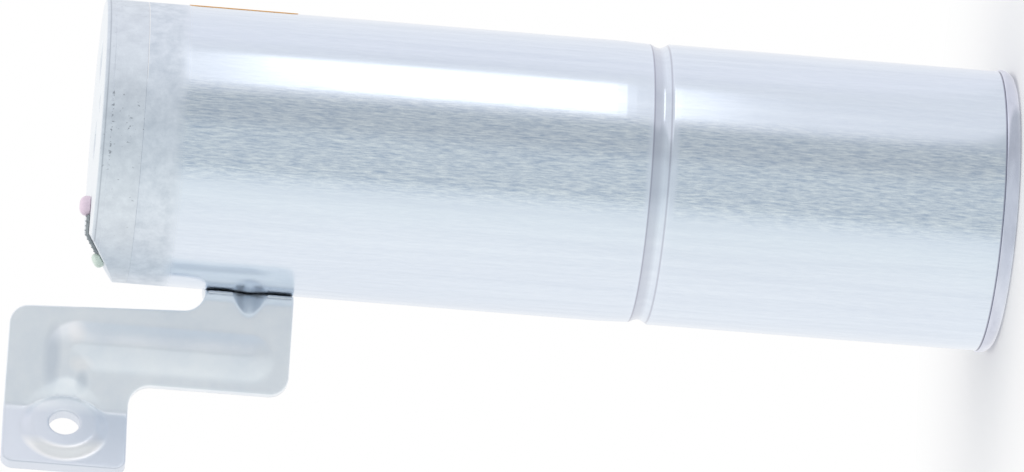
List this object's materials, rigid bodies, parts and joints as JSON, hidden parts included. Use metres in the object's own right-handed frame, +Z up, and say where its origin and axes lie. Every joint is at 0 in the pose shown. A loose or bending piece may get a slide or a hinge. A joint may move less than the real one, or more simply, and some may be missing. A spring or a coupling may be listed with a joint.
{
  "type": "air-conditioning receiver drier",
  "caption": "Upright aluminium receiver-drier can with a machined port header, a rolled bead and a stamped mounting ear with a ribbed arm and screw hole.",
  "frame": {"origin": "centre of the flat base", "axes": "+Z up the axis of the can to the header, -X towards the mounting ear"},
  "size_m": [0.1009, 0.0628, 0.2096],
  "materials": {
    "can": "brushed lengthwise, bright",
    "header": "machined, slightly mottled by heat",
    "base_cap": "pressed, bright",
    "bracket": "mill finish sheet",
    "label": "coated film",
    "service_plug": "moulded",
    "plug_pull_tab": "ribbed",
    "relief_plug": "moulded",
    "pickup_tube": "drawn tube",
    "tube_seal_ring": "matt",
    "strainer": "natural nylon",
    "mesh": "fine woven screen",
    "plates": "zinc-plated",
    "felt": "felt",
    "beads": "molecular-sieve beads",
    "spring": "spring steel"
  },
  "bodies": {
    "drier": {"can": "can", "header": "header", "base_cap": "base_cap", "bracket": "bracket", "label": "label", "pickup_tube": "pickup_tube", "tube_seal_ring": "tube_seal_ring", "strainer_frame": "strainer", "strainer_mesh": "mesh", "lower_plate": "plates", "upper_plate": "plates", "lower_filter_pad": "felt", "upper_filter_pad": "felt", "desiccant_bed": "beads", "pack_spring": "spring"},
    "service_plug": {"service_plug": "service_plug", "plug_pull_tab": "plug_pull_tab"},
    "relief_plug": {"relief_plug": "relief_plug"}
  },
  "joints": [
    {"name": "service_plug_pull", "type": "slide", "parent": "drier", "child": "service_plug", "axis": [0, 0, 1], "range_m": [0, 0.012]},
    {"name": "relief_plug_pull", "type": "slide", "parent": "drier", "child": "relief_plug", "axis": [-0.5245, 0, 0.8514], "range_m": [0, 0.009]}
  ]
}
